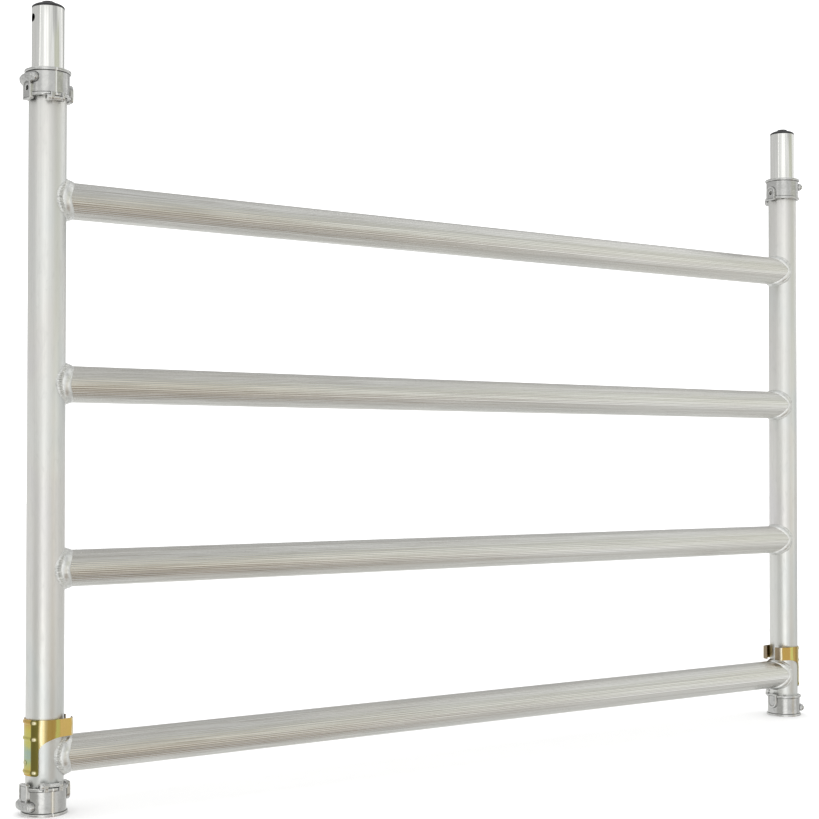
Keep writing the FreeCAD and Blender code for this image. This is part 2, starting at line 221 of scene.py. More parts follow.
class Finish:
    """A material under construction, with short names for the shader nodes it uses."""

    def __init__(self, name, metallic):
        self.material = bpy.data.materials.new(name)
        self.material.use_nodes = True
        self.tree = self.material.node_tree
        self.shader = self.tree.nodes["Principled BSDF"]
        self.shader.inputs["Metallic"].default_value = metallic
        self.place = self.node("ShaderNodeTexCoord").outputs["Object"]

    def node(self, kind, **settings):
        made = self.tree.nodes.new(kind)
        for key, value in settings.items():
            setattr(made, key, value)
        return made

    def feed(self, socket, source):
        if isinstance(source, bpy.types.NodeSocket):
            self.tree.links.new(source, socket)
        else:
            socket.default_value = source

    def noise(self, stretch, detail=3.0, distortion=0.0, place=None):
        mapping = self.node("ShaderNodeMapping")
        self.feed(mapping.inputs["Vector"], place or self.place)
        mapping.inputs["Scale"].default_value = stretch
        texture = self.node("ShaderNodeTexNoise")
        self.feed(texture.inputs["Vector"], mapping.outputs["Vector"])
        texture.inputs["Scale"].default_value = 1.0
        texture.inputs["Detail"].default_value = detail
        texture.inputs["Distortion"].default_value = distortion
        return texture.outputs["Fac"]

    def ramp(self, value, stops):
        ramp = self.node("ShaderNodeValToRGB")
        self.feed(ramp.inputs["Fac"], value)
        points = ramp.color_ramp.elements
        while len(points) < len(stops):
            points.new(0.5)
        for point, (position, colour) in zip(points, stops):
            point.position = position
            point.color = (*colour, 1)
        return ramp.outputs["Color"]

    def between(self, value, from_low, from_high, to_low, to_high):
        spread = self.node("ShaderNodeMapRange")
        self.feed(spread.inputs["Value"], value)
        for name, number in (("From Min", from_low), ("From Max", from_high),
                             ("To Min", to_low), ("To Max", to_high)):
            spread.inputs[name].default_value = number
        return spread.outputs["Result"]

    def maths(self, operation, first, second):
        node = self.node("ShaderNodeMath", operation=operation)
        self.feed(node.inputs[0], first)
        self.feed(node.inputs[1], second)
        return node.outputs["Value"]

    def blend(self, share, first, second):
        mix = self.node("ShaderNodeMix", data_type="RGBA")
        self.feed(mix.inputs[0], share)
        self.feed(mix.inputs[COLOUR_A], first)
        self.feed(mix.inputs[COLOUR_B], second)
        return mix.outputs[COLOUR_MIXED]

    def relief(self, height, depth, strength=1.0, under=None):
        bump = self.node("ShaderNodeBump")
        bump.inputs["Strength"].default_value = strength
        bump.inputs["Distance"].default_value = depth
        self.feed(bump.inputs["Height"], height)
        if under is not None:
            self.feed(bump.inputs["Normal"], under)
        return bump.outputs["Normal"]

    def done(self, colour, roughness, normal):
        self.feed(self.shader.inputs["Base Color"], colour)
        self.feed(self.shader.inputs["Roughness"], roughness)
        self.feed(self.shader.inputs["Normal"], normal)
        return self.material


def leg_finish():
    """Drawn tube: satin, fine lengthwise die lines, clouded by handling."""
    f = Finish("leg_satin", 1.0)
    lines = f.noise((900, 900, 5), 4)
    cloud = f.noise((7, 7, 4), 3, 0.6)
    scuffs = f.noise((160, 160, 45), 5, 1.2)
    tint = f.ramp(cloud, [(0.32, (0.76, 0.795, 0.80)), (0.47, (0.83, 0.835, 0.815)),
                          (0.6, (0.825, 0.815, 0.79)), (0.72, (0.80, 0.785, 0.79))])
    wear_and_glint = f.blend(f.between(scuffs, 0.55, 0.75, 0.0, 0.35), tint, (0.68, 0.68, 0.665, 1))
    colour = f.blend(f.between(lines, 0.35, 0.7, 0.0, 0.22), wear_and_glint, (0.66, 0.66, 0.65, 1))
    roughness = f.maths("ADD", f.between(lines, 0.3, 0.7, 0.34, 0.43),
                        f.between(scuffs, 0.4, 0.8, 0.0, 0.08))
    return f.done(colour, roughness, f.relief(lines, mm(0.02), 0.35, f.relief(scuffs, mm(0.03), 0.25)))


def rung_finish():
    """Reeded extrusion: streaks along the reeds, some polished by use, and dark streaks of painted reflection
    that grow stronger towards the left ends.
    """
    f = Finish("rung_reeded", 1.0)
    streaks = f.noise((2.2, 420, 420), 3)
    fine = f.noise((9, 1500, 1500), 3)
    cloud = f.noise((3, 20, 20), 2)
    base = f.ramp(streaks, [(0.3, (0.68, 0.675, 0.65)), (0.45, (0.77, 0.765, 0.745)),
                            (0.56, (0.83, 0.83, 0.81)), (0.7, (0.87, 0.87, 0.86))])
    warm = f.blend(f.between(cloud, 0.45, 0.65, 0.0, 0.35), base, (0.80, 0.775, 0.72, 1))
    span = f.node("ShaderNodeSeparateXYZ")
    f.feed(span.inputs[0], f.place)
    # Painted reflection: dark streaks along the reeds, strongest at the left ends and fading to the right.
    marks = f.maths("MULTIPLY", f.between(fine, 0.45, 0.7, 0.0, 0.8),
                    f.between(span.outputs[0], -0.55, 0.45, 1.0, 0.2))
    colour = f.blend(marks, warm, (0.44, 0.42, 0.38, 1))
    roughness = f.between(streaks, 0.3, 0.7, 0.30, 0.17)
    return f.done(colour, roughness, f.relief(fine, mm(0.03), 0.4))


def spigot_finish():
    """Turned and polished tube with faint rings and light slide marks."""
    f = Finish("spigot_polished", 1.0)
    rings = f.noise((30, 30, 2600), 2)
    slides = f.noise((700, 700, 12), 4)
    colour = f.ramp(slides, [(0.35, (0.80, 0.80, 0.78)), (0.6, (0.90, 0.90, 0.885))])
    roughness = f.between(slides, 0.3, 0.75, 0.1, 0.2)
    return f.done(colour, roughness, f.relief(rings, mm(0.008), 0.3))


def cast_finish():
    """Die casting with a satin skin: fine grain, painted shade darkening the hollows, and a painted highlight
    lightening the edges, where lower roughness stands for polish.
    """
    f = Finish("cast_skin", 1.0)
    hollow = f.node("ShaderNodeAttribute", attribute_name="hollow").outputs["Fac"]
    grain = f.noise((1100, 1100, 1100), 5)
    patches = f.noise((90, 90, 90), 4, 0.8)
    turning = f.noise((20, 20, 1400), 2)
    skin = f.ramp(patches, [(0.3, (0.51, 0.51, 0.505)), (0.5, (0.58, 0.58, 0.575)),
                            (0.68, (0.63, 0.63, 0.62))])
    turned = f.blend(f.between(turning, 0.5, 0.8, 0.0, 0.3), skin, (0.50, 0.50, 0.495, 1))
    # Painted shade: corners, creases and flange junctions darkened towards near-black.
    painted_hollow_shade = f.blend(f.between(hollow, 0.012, 0.07, 0.0, 0.9), turned, (0.10, 0.10, 0.095, 1))
    # Painted highlight: convex edges and the slit's edges lightened towards white.
    painted_edge_highlight = f.maths("ADD", f.between(hollow, -0.02, -0.08, 0.0, 0.5),
                     f.between(hollow, -0.10, -0.20, 0.0, 0.45))
    colour = f.blend(painted_edge_highlight, painted_hollow_shade, (0.95, 0.95, 0.94, 1))
    roughness = f.maths("SUBTRACT", f.between(grain, 0.3, 0.7, 0.18, 0.27),
                        f.between(hollow, -0.02, -0.08, 0.0, 0.08))
    return f.done(colour, roughness, f.relief(grain, mm(0.03), 0.5, f.relief(turning, mm(0.02), 0.4)))


def weld_finish():
    """As-welded bead: patches of brighter and greyer metal."""
    f = Finish("weld_bead", 1.0)
    grain = f.noise((1400, 1400, 1400), 4)
    patches = f.noise((220, 220, 220), 4, 1.0)
    colour = f.ramp(patches, [(0.3, (0.70, 0.705, 0.695)), (0.5, (0.84, 0.845, 0.83)),
                              (0.7, (0.90, 0.905, 0.895))])
    roughness = f.between(patches, 0.3, 0.7, 0.40, 0.28)
    return f.done(colour, roughness, f.relief(grain, mm(0.04), 0.4, f.relief(patches, mm(0.05), 0.35)))


def clip_finish():
    """Yellow passivated zinc on spring steel. Its interference colours drift from gold
    through green to blue-grey down the strip; each bend has its own tone round the sheet, with painted light
    in it: a dark olive band of painted reflection, two narrow bands of painted highlight, and lips darkened
    with painted shade. The rib ends get a painted glint."""
    f = Finish("clip_passivated", 1.0)
    sheet = f.node("ShaderNodeAttribute", attribute_name="sheet_place").outputs["Vector"]
    parts = f.node("ShaderNodeSeparateXYZ")
    f.feed(parts.inputs[0], sheet)
    along, height, rib = parts.outputs[0], parts.outputs[1], parts.outputs[2]
    drift = f.noise((45, 30, 1), 3, 1.0, sheet)
    streaks = f.noise((420, 35, 1), 4, 0.0, sheet)
    speckle = f.noise((1500, 1500, 1), 3, 0.0, sheet)
    wander = f.maths("ADD", f.between(drift, 0.3, 0.7, -0.10, 0.10),
                     f.between(streaks, 0.3, 0.7, -0.03, 0.03))
    down = f.maths("ADD", f.between(height, mm(53), mm(128), 0.0, 1.0), wander)
    strip = f.ramp(down, [
        (0.02, (0.66, 0.46, 0.12)), (0.12, (0.64, 0.56, 0.17)), (0.24, (0.50, 0.58, 0.28)),
        (0.36, (0.42, 0.54, 0.46)), (0.46, (0.42, 0.54, 0.42)), (0.56, (0.62, 0.60, 0.20)),
        (0.78, (0.66, 0.58, 0.15)), (0.94, (0.64, 0.42, 0.13))])
    nudge = f.between(drift, 0.3, 0.7, -0.008, 0.008)
    across = f.maths("ADD", f.between(along, 0.0, mm(84), 0.0, 1.0), nudge)
    # Round the sheet: tan and green zinc tones with painted light mixed in. The dark olive band (0.150 to
    # 0.262) is a painted reflection, the bright bands at 0.315 and 0.835 are painted highlights, and the dark
    # lips from 0.870 on are painted shade.
    sheet_tone_and_painted_light = f.ramp(across, [
        (0.150, (0.22, 0.19, 0.05)), (0.262, (0.28, 0.24, 0.06)), (0.285, (0.56, 0.46, 0.20)),
        (0.315, (0.88, 0.80, 0.55)), (0.355, (0.74, 0.62, 0.32)), (0.420, (0.46, 0.31, 0.09)),
        (0.520, (0.46, 0.32, 0.10)), (0.552, (0.58, 0.56, 0.18)), (0.592, (0.58, 0.54, 0.17)),
        (0.620, (0.64, 0.44, 0.15)),
        (0.820, (0.64, 0.45, 0.14)), (0.835, (0.95, 0.88, 0.70)), (0.852, (0.90, 0.82, 0.64)),
        (0.870, (0.30, 0.24, 0.17)), (1.000, (0.36, 0.28, 0.18))])
    colour = f.blend(f.between(along, mm(11.6), mm(12.8), 0.0, 1.0), strip, sheet_tone_and_painted_light)
    # Painted highlight: a pale glint painted on the ribs past 14 mm round the sheet, near their rounded ends.
    wear_and_glint = f.maths("MULTIPLY", f.between(rib, 0.15, 0.7, 0.0, 1.0),
                   f.between(along, mm(14), mm(16), 0.0, 1.0))
    with_rib_glint = f.blend(wear_and_glint, colour, (1.0, 0.92, 0.62, 1))
    dusted = f.blend(f.between(speckle, 0.55, 0.8, 0.0, 0.2), with_rib_glint, (0.40, 0.32, 0.12, 1))
    roughness = f.between(streaks, 0.3, 0.7, 0.16, 0.26)
    return f.done(dusted, roughness, f.relief(streaks, mm(0.02), 0.3, f.relief(speckle, mm(0.01), 0.2)))


def zinc_finish(name, light, dark):
    """Zinc plated steel: bright, faintly mottled."""
    f = Finish(name, 1.0)
    mottle = f.noise((420, 420, 420), 4, 0.5)
    fine = f.noise((2200, 2200, 2200), 3)
    colour = f.ramp(mottle, [(0.35, dark), (0.65, light)])
    roughness = f.between(mottle, 0.3, 0.7, 0.3, 0.2)
    return f.done(colour, roughness, f.relief(fine, mm(0.02), 0.3))


def bung_finish():
    """Moulded black plastic: fine spark texture, scuffed a little lighter."""
    f = Finish("bung_moulded", 0.0)
    grain = f.noise((1600, 1600, 1600), 4)
    scuffs = f.noise((260, 260, 260), 5, 1.5)
    colour = f.ramp(scuffs, [(0.4, (0.010, 0.010, 0.012)), (0.62, (0.022, 0.022, 0.024)),
                             (0.8, (0.06, 0.06, 0.06))])
    roughness = f.between(scuffs, 0.3, 0.7, 0.3, 0.5)
    return f.done(colour, roughness, f.relief(grain, mm(0.04), 0.5))


FINISHES = {
    "leg_aluminium": leg_finish(),
    "rung_aluminium": rung_finish(),
    "spigot_aluminium": spigot_finish(),
    "cast_aluminium": cast_finish(),
    "weld_aluminium": weld_finish(),
    "clip_spring_steel": clip_finish(),
    "lock_pin_steel": zinc_finish("lock_pin_zinc", (0.70, 0.66, 0.40), (0.50, 0.50, 0.30)),
    "fastener_steel": zinc_finish("fastener_zinc", (0.86, 0.86, 0.85), (0.66, 0.66, 0.65)),
    "bung_plastic": bung_finish(),
}


# ---- Legs and spigots ----

def lock_hole_cutter(height):
    """A bar through the outward wall of a leg or spigot."""
    return round_bar(LOCK_HOLE_RADIUS, Vector((LOCK_CUT_START, 0, height)), Vector((LOCK_CUT_END, 0, height)))


def make_leg(name, side):
    """Drawn tube with its socket, run-out groove, softened end edges and lock hole."""
    edge, bulge = LEG_EDGE, LEG_EDGE_BULGE
    groove, groove_top = SOCKET_RADIUS + GROOVE_DEPTH, SOCKET_DEPTH + GROOVE_WIDTH
    leg = lathe(name + "_leg_tube", [
        (SOCKET_RADIUS + SOCKET_MOUTH, 0), (LEG_RADIUS - edge, 0), (LEG_RADIUS - bulge, bulge),
        (LEG_RADIUS, edge), (LEG_RADIUS, LEG_TOP / 2), (LEG_RADIUS, LEG_TOP - edge),
        (LEG_RADIUS - bulge, LEG_TOP - bulge), (LEG_RADIUS - edge, LEG_TOP),
        (LEG_BORE, LEG_TOP), (LEG_BORE, LEG_TOP / 2), (LEG_BORE, groove_top),
        (groove, groove_top), (groove, SOCKET_DEPTH),
        (SOCKET_RADIUS, SOCKET_DEPTH), (SOCKET_RADIUS, SOCKET_MOUTH)], TUBE_SEGMENTS)
    cut(leg, lock_hole_cutter(LOCK_HEIGHT))
    on_leg(leg, side)
    smooth(leg, 32)
    put(leg, "frame", FINISHES["leg_aluminium"], "leg_aluminium", name + "_leg")


def make_spigot(name, side):
    """Turned tube with a fatter tail inside the leg, a softened top edge and a lock hole."""
    low, high = SPIGOT_LOW.z, SPIGOT_HIGH.z
    bulge_in, bulge_down = SPIGOT_EDGE_BULGE
    spigot = lathe(name + "_spigot_tube", [
        (SPIGOT_BORE, low), (SPIGOT_TAIL - SPIGOT_TAIL_CHAMFER, low),
        (SPIGOT_TAIL, low + SPIGOT_TAIL_CHAMFER), (SPIGOT_TAIL, LEG_TOP),
        (SPIGOT_RADIUS, LEG_TOP), (SPIGOT_RADIUS, high - SPIGOT_EDGE),
        (SPIGOT_RADIUS - bulge_in, high - bulge_down), (SPIGOT_RADIUS - SPIGOT_EDGE, high),
        (SPIGOT_BORE, high)], TUBE_SEGMENTS)
    cut(spigot, lock_hole_cutter(LEG_TOP + LOCK_HEIGHT))
    on_leg(spigot, side)
    smooth(spigot, 32)
    put(spigot, "frame", FINISHES["spigot_aluminium"], "spigot_aluminium", name + "_spigot")


BUNG_PLUG = mm(18.75)
BUNG_PLUG_TIP = mm(17.6)
BUNG_PLUG_DEPTH = mm(6.4)
BUNG_PLUG_LEAD = mm(5.2)
BUNG_RIM = mm(22.0)
BUNG_RIM_HEIGHT = mm(1.6)
BUNG_DISC = mm(8.7)
BUNG_DISC_HEIGHT = mm(2.8)
BUNG_DISC_FOOT = mm(1.2)
BUNG_SHOULDER_STEPS = 14
BUNG_DIMPLE = mm(4.6)
BUNG_SEGMENTS = 96


def bung_shoulder(seat, crown):
    """The curve from the rim up to the foot of the disc."""
    start, end = seat + BUNG_RIM_HEIGHT, crown - BUNG_DISC_HEIGHT
    curve = []
    for step in range(1, BUNG_SHOULDER_STEPS + 1):
        share = step / BUNG_SHOULDER_STEPS
        reach = BUNG_RIM - (BUNG_RIM - BUNG_DISC - BUNG_DISC_FOOT) * share ** 1.25
        curve.append((reach, start + (end - start) * math.sin(share * math.pi / 2) ** 0.9))
    return curve


def make_bung(name, side):
    """A cap whose shoulders rise in one soft curve to a low raised disc."""
    seat, crown = SPIGOT_HIGH.z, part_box("right_spigot_bung")[1].z
    disc, disc_foot = BUNG_DISC, crown - BUNG_DISC_HEIGHT
    profile = [
        (0, seat - BUNG_PLUG_DEPTH), (BUNG_PLUG_TIP, seat - BUNG_PLUG_DEPTH),
        (BUNG_PLUG, seat - BUNG_PLUG_LEAD), (BUNG_PLUG, seat),
        (BUNG_RIM - mm(0.3), seat), (BUNG_RIM, seat + mm(0.3)),
        (BUNG_RIM, seat + BUNG_RIM_HEIGHT - mm(0.2)), *bung_shoulder(seat, crown),
        (disc + mm(0.5), disc_foot + mm(0.1)), (disc + mm(0.1), disc_foot + mm(0.6)),
        (disc, crown - mm(0.6)), (disc - mm(0.2), crown - mm(0.2)), (disc - mm(0.8), crown),
        (BUNG_DIMPLE, crown), (BUNG_DIMPLE - mm(0.5), crown - mm(0.5)), (0, crown - mm(0.6))]
    bung = lathe(name + "_bung_cap", profile, BUNG_SEGMENTS)
    on_leg(bung, side)
    smooth(bung, 40)
    put(bung, "frame", FINISHES["bung_plastic"], "bung_plastic", name + "_spigot_bung")


# ---- Rungs and welds ----

POINTS_PER_REED = 8
RUNG_STATIONS = 25
RUNG_GAP = mm(0.02)

BEAD_AROUND = 640
BEAD_ACROSS = 26
BEAD_RIPPLES = 42
BEAD_LIFT = mm(28.8)
BEAD_SIDE_REACH = mm(36.4)
BEAD_RUNG_RADIUS = mm(24.7)
BEAD_TOE_SINK = mm(0.25)
BEAD_LEAST_SWELL = mm(0.6)
BEAD_ROOT_DEPTH = mm(1.6)
BEAD_FRONT_ANGLE = 7
# How far the beads reach along the rung in front, and how proud they stand, by side.
FRONT_BEADS = {-1: (mm(25), mm(3.0)), 1: (mm(13), mm(1.5))}


def make_rung(node):
    """Reeded tube whose ends are coped to the legs."""
    height = centre_of(node).z
    count = REEDS * POINTS_PER_REED
    turns = np.arange(count) / count * FULL_TURN
    phase = (np.arange(count) % POINTS_PER_REED) / POINTS_PER_REED
    crest = np.sin(math.pi * phase) ** 0.8
    outer = RUNG_RADIUS - REED_DEPTH * (1 - crest)
    stations = np.linspace(-1, 1, RUNG_STATIONS)
    rows = []
    back = stations[::-(RUNG_STATIONS // 2)]
    for radius, steps in ((outer, stations), (np.full(count, RUNG_BORE), back)):
        y, z = radius * np.sin(turns), radius * np.cos(turns)
        end = LEG_X - np.sqrt(LEG_RADIUS ** 2 - y ** 2) - RUNG_GAP
        rows += [np.stack([end * s, y, z + height], axis=-1) for s in steps]
    rung = grid_piece(node + "_tube", np.array(rows), True, True)
    face_outward(rung)
    smooth(rung, 50)
    put(rung, "frame", FINISHES["rung_aluminium"], "rung_aluminium", node)


def bead_points(front_reach, full_swell, seed):
    """A fillet bead from its toe on the leg to its border on the rung: a narrow rippled
    pass by the leg and a broad smooth one by the rung. The rung lies along +X."""
    phi = np.arange(BEAD_AROUND) / BEAD_AROUND * FULL_TURN
    cosine, sine = np.cos(phi), np.sin(phi)
    wander = np.array([noise.noise(Vector((2.5 * c, 2.5 * s, seed))) for c, s in zip(cosine, sine)])
    jitter = np.array([noise.noise(Vector((9 * c, 9 * s, seed + 7))) for c, s in zip(cosine, sine)])
    lift = BEAD_LIFT + mm(0.8) * wander
    toe_angle = math.radians(BEAD_FRONT_ANGLE) + math.radians(90 - BEAD_FRONT_ANGLE) * (1 - np.abs(cosine))
    toe = np.stack([LEG_RADIUS * np.sin(toe_angle) - BEAD_TOE_SINK,
                    -np.sign(cosine) * LEG_RADIUS * np.cos(toe_angle), lift * sine], axis=-1)
    reach = front_reach + (BEAD_SIDE_REACH - front_reach) * np.abs(sine) ** 1.6 + mm(0.9) * wander
    border = np.stack([reach, -BEAD_RUNG_RADIUS * cosine, BEAD_RUNG_RADIUS * sine], axis=-1)
    leg_normal = toe * np.array([1, 1, 0])
    leg_normal /= np.linalg.norm(leg_normal, axis=1)[:, None]
    rung_normal = np.stack([np.zeros(BEAD_AROUND), -cosine, sine], axis=-1)
    swell = full_swell * cosine ** 2 + BEAD_LEAST_SWELL + mm(0.35) * wander
    scallop = np.abs(np.sin(BEAD_RIPPLES * phi + 2.2 * jitter)) ** 0.7
    columns = []
    for t in np.linspace(0, 1, BEAD_ACROSS):
        narrow = math.sqrt(max(0.0, 1 - ((t - 0.2) / 0.2) ** 2))
        broad = math.sqrt(max(0.0, 1 - ((t - 0.66) / 0.34) ** 2))
        rippled = narrow * (0.45 + 0.55 * scallop)
        smooth_pass = broad * (0.97 + 0.06 * jitter)
        rise = swell * np.maximum(rippled, smooth_pass)
        normal = leg_normal * (1 - t) + rung_normal * t
        normal /= np.linalg.norm(normal, axis=1)[:, None]
        columns.append(toe * (1 - t) + border * t + normal * rise[:, None])
    for t in (0.85, 0.15):
        normal = leg_normal * (1 - t) + rung_normal * t
        columns.append(toe * (1 - t) + border * t - normal * BEAD_ROOT_DEPTH)
    return np.stack(columns, axis=1)


def make_welds(node, number):
    """The two end beads of a rung, as one piece."""
    height = centre_of(node).z
    beads = []
    for place, (_, side) in enumerate(SIDES):
        points = bead_points(*FRONT_BEADS[side], 3.0 * number + 11.0 * place)
        points = points * np.array([-side, -1 if side > 0 else 1, 1]) + np.array([side * LEG_X, 0, height])
        bead = grid_piece("bead", points, True, True)
        face_outward(bead)
        beads.append(bead)
    welds = join_all(beads, node + "_beads")
    smooth(welds, 60)
    put(welds, "frame", FINISHES["weld_aluminium"], "weld_aluminium", node + "_welds")


def join_all(pieces, name):
    """One mesh from several, each already in place."""
    points, faces = [], []
    for piece in pieces:
        first = len(points)
        points += [piece.matrix_world @ v.co for v in piece.data.vertices]
        faces += [[first + v for v in f.vertices] for f in piece.data.polygons]
        bpy.data.objects.remove(piece)
    return add_mesh(name, points, faces)


# ---- Collars and their screws ----

CAST_SPACING = mm(0.5)
# Reach either side of the slit where a painted highlight is marked.
SLIT_HIGHLIGHT_REACH = mm(1.2)
COLLAR_BARREL = mm(28)
# Hollow value given to those slit edges; the material turns it into a painted highlight.
PAINTED_HIGHLIGHT_MARK = -0.2
SKIN_DEPTH = mm(0.05)
LUMP_DEPTH = mm(0.75)
LUMP_START = mm(33.6)
LUMP_FADE = mm(2.5)
LUMP_SIZE = mm(4)
GRAIN_SIZE = mm(1.7)


def hollowness(mesh, points, normals, spacing):
    """How hollow the surface is at each vertex: positive in a corner, negative on an edge."""
    edges = np.array([e.vertices for e in mesh.edges])
    ends = np.concatenate([edges, edges[:, ::-1]])
    degree = np.bincount(ends[:, 0], minlength=len(points))

    def neighbour_mean(values):
        total = [np.bincount(ends[:, 0], column[ends[:, 1]], len(points)) for column in values.T]
        return np.stack(total, axis=1) / degree[:, None]

    bend = np.einsum("ij,ij->i", neighbour_mean(points) - points, normals) / spacing
    return neighbour_mean(bend[:, None])[:, 0]


def paint_slit_highlights(points, hollow):
    """Marks both edges of the slit for the same painted highlight as the sharpest edge of the casting."""
    across = np.abs(np.abs(points[:, 0]) - LEG_X)
    out = points[:, 1] * np.sign(points[:, 0])
    return np.where((across < SLIT_HIGHLIGHT_REACH) & (out > COLLAR_BARREL), PAINTED_HIGHLIGHT_MARK, hollow)


def unevenness(spot):
    """Height of the skin's lumps and finer grain at a point, about -1 to 1."""
    return noise.noise(Vector(spot / LUMP_SIZE)) + 0.6 * noise.noise(Vector(spot / GRAIN_SIZE))


def make_collar(name, place):
    """The casting with its edges rounded over, its skin slightly uneven and lumpy on the lug."""
    node = f"{name}_{place}_collar"
    piece = bpy.data.objects.new(node + "_casting", frame["nodes"][node].data.copy())
    bpy.context.scene.collection.objects.link(piece)
    spacing = CAST_SPACING
    remesh = piece.modifiers.new("skin", "REMESH")
    remesh.mode = "VOXEL"
    remesh.voxel_size = spacing
    soften = piece.modifiers.new("soften", "SMOOTH")
    soften.factor = 0.5
    soften.iterations = 2
    keep_modifiers(piece)
    mesh = piece.data
    points = np.array([v.co for v in mesh.vertices])
    normals = np.array([v.normal for v in mesh.vertices])
    # The hollow measure, with the slit's edges marked, drives the casting's painted shade in corners and
    # painted highlights on edges.
    hollow = mesh.attributes.new("hollow", "FLOAT", "POINT")
    shading = paint_slit_highlights(points, hollowness(mesh, points, normals, spacing))
    hollow.data.foreach_set("value", shading.astype(np.float32))
    uneven = np.array([unevenness(p) for p in points])
    from_axis = np.hypot(np.abs(points[:, 0]) - LEG_X, points[:, 1])
    depth = SKIN_DEPTH + LUMP_DEPTH * np.clip((from_axis - LUMP_START) / LUMP_FADE, 0, 1)
    mesh.vertices.foreach_set("co", (points + normals * (uneven * depth)[:, None]).ravel())
    mesh.update()
    mesh.shade_smooth()
    put(piece, "frame", FINISHES["cast_aluminium"], "cast_aluminium", node)


SCREW_RADIUS = mm(3)
SCREW_HEAD_RADIUS = mm(4.6)
SCREW_HEAD_LENGTH = mm(5.4)
SCREW_HEAD_EDGE = mm(0.6)
SCREW_HEAD_FOOT = mm(0.3)
SCREW_AROUND = 24
ROWS_PER_TURN = 8
THREAD_PITCH = mm(1)
THREAD_DEPTH = mm(0.5)
TOP_THREAD_LENGTH = mm(5)
SOCKET_ACROSS_CORNERS = mm(5.77)
HEAD_SOCKET_DEPTH = mm(3)
HEAD_OVERLAP = mm(0.02)


def screw_shank(length, threaded_length):
    """A round shank up Z whose thread starts at its tip."""
    z = np.linspace(0, length, int(length / THREAD_PITCH * ROWS_PER_TURN))[:, None]
    turns = np.arange(SCREW_AROUND) / SCREW_AROUND * FULL_TURN
    wave = np.abs((z / THREAD_PITCH - turns / FULL_TURN) % 1.0 * 2 - 1)
    radius = SCREW_RADIUS - THREAD_DEPTH * (1 - wave) * (z < threaded_length)
    ring = np.stack([np.cos(turns) * radius, np.sin(turns) * radius,
                     np.broadcast_to(z, radius.shape)], axis=-1)
    tip, root = np.zeros((1, SCREW_AROUND, 3)), np.zeros((1, SCREW_AROUND, 3))
    root[..., 2] = length
    shank = grid_piece("shank", np.concatenate([tip, ring, root]), False, True)
    close_poles(shank)
    face_outward(shank)
    return shank


def screw_head(low, high):
    """A chamfered cap with a hexagon socket, up Z."""
    edge, soft = SCREW_HEAD_EDGE, SCREW_HEAD_FOOT
    head = lathe("head", [
        (0, low), (SCREW_HEAD_RADIUS - soft, low), (SCREW_HEAD_RADIUS, low + soft),
        (SCREW_HEAD_RADIUS, high - 2 * edge), (SCREW_HEAD_RADIUS - mm(0.25), high - edge),
        (SCREW_HEAD_RADIUS - mm(0.7), high - soft), (SCREW_HEAD_RADIUS - mm(1.3), high),
        (0, high)], CUTTER_SEGMENTS)
    corner, bottom, above = SOCKET_ACROSS_CORNERS / 2, high - HEAD_SOCKET_DEPTH, high + mm(1)
    cut(head, lathe("cutter", [(0, bottom), (corner, bottom), (corner, above), (0, above)], 6))
    return head


def make_collar_screw(name, side, place):
    """A cap screw along X, its head outward; the top one is threaded only near its tip."""
    node = f"{name}_{place}_collar_screw"
    low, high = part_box(node)
    total = high.x - low.x
    shank_length = total - SCREW_HEAD_LENGTH
    shank = screw_shank(shank_length, total if place == "foot" else TOP_THREAD_LENGTH)
    screw = join_all([shank, screw_head(shank_length - HEAD_OVERLAP, total)], node + "_cap")
    tip = Vector((low.x if side > 0 else high.x, *centre_of(node)[1:]))
    screw.data.transform(Matrix.Translation(tip) @ Matrix.Rotation(side * math.pi / 2, 4, "Y"))
    smooth(screw, 30)
    put(screw, "frame", FINISHES["fastener_steel"], "fastener_steel", node)


# ---- Interlock clips ----

CLIP_BORE = mm(25.8)
CLIP_THICKNESS = mm(1.5)
CLIP_LOW, CLIP_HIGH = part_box("right_clip_tongue")[0].z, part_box("right_clip_band")[1].z
STRIP_EDGE = mm(16.7)
WING_LOW = mm(86)
ARM_LOW = mm(104.4)
STRIP_CORNER = mm(3.5)
RIB_HEIGHTS = (mm(124), mm(102.2), mm(58))
RIB_HALF_ANGLE = math.radians(39.5)
RIB_PROUD = mm(1.5)
RIB_HALF_WIDTH = mm(3)
UPPER_ROWS, LOWER_ROWS = 84, 64
# The strip lies within this angle, in radians, either side of the clip's middle.
STRIP_REACH = 1.2
# The wrap, the arm and the lip: each a bend (radius, degrees), the straight run after it,
# and how many steps the bend and the run are drawn in.
CLIP_BENDS = ((CLIP_BORE, 93, mm(10), 116, 12), (mm(10), 10, mm(16.4), 5, 18), (mm(2), 64, mm(10.5), 9, 12))


def half_plan():
    """Stations along the front half of the clip: place, heading and length so far."""
    place, heading, length = Vector((CLIP_BORE, 0)), -math.pi / 2, 0.0
    stations = [(place.copy(), heading, length)]
    for radius, degrees, straight, arc_steps, straight_steps in CLIP_BENDS:
        turn = math.radians(degrees) / arc_steps
        for _ in range(arc_steps):
            chord = 2 * radius * math.sin(turn / 2)
            heading -= turn / 2
            place = place + Vector((math.cos(heading), math.sin(heading))) * chord
            heading -= turn / 2
            length += radius * turn
            stations.append((place.copy(), heading, length))
        for _ in range(straight_steps):
            step = straight / straight_steps
            place = place + Vector((math.cos(heading), math.sin(heading))) * step
            length += step
            stations.append((place.copy(), heading, length))
    return stations


def lower_edge(x):
    """Height of the wing's lower edge: level on the arms, then one long concave sweep."""
    if x <= -STRIP_EDGE:
        return ARM_LOW
    share = (x + STRIP_EDGE) / (2 * STRIP_EDGE)
    return WING_LOW + (ARM_LOW - WING_LOW) * math.sqrt(max(0.0, 1 - share ** 2))


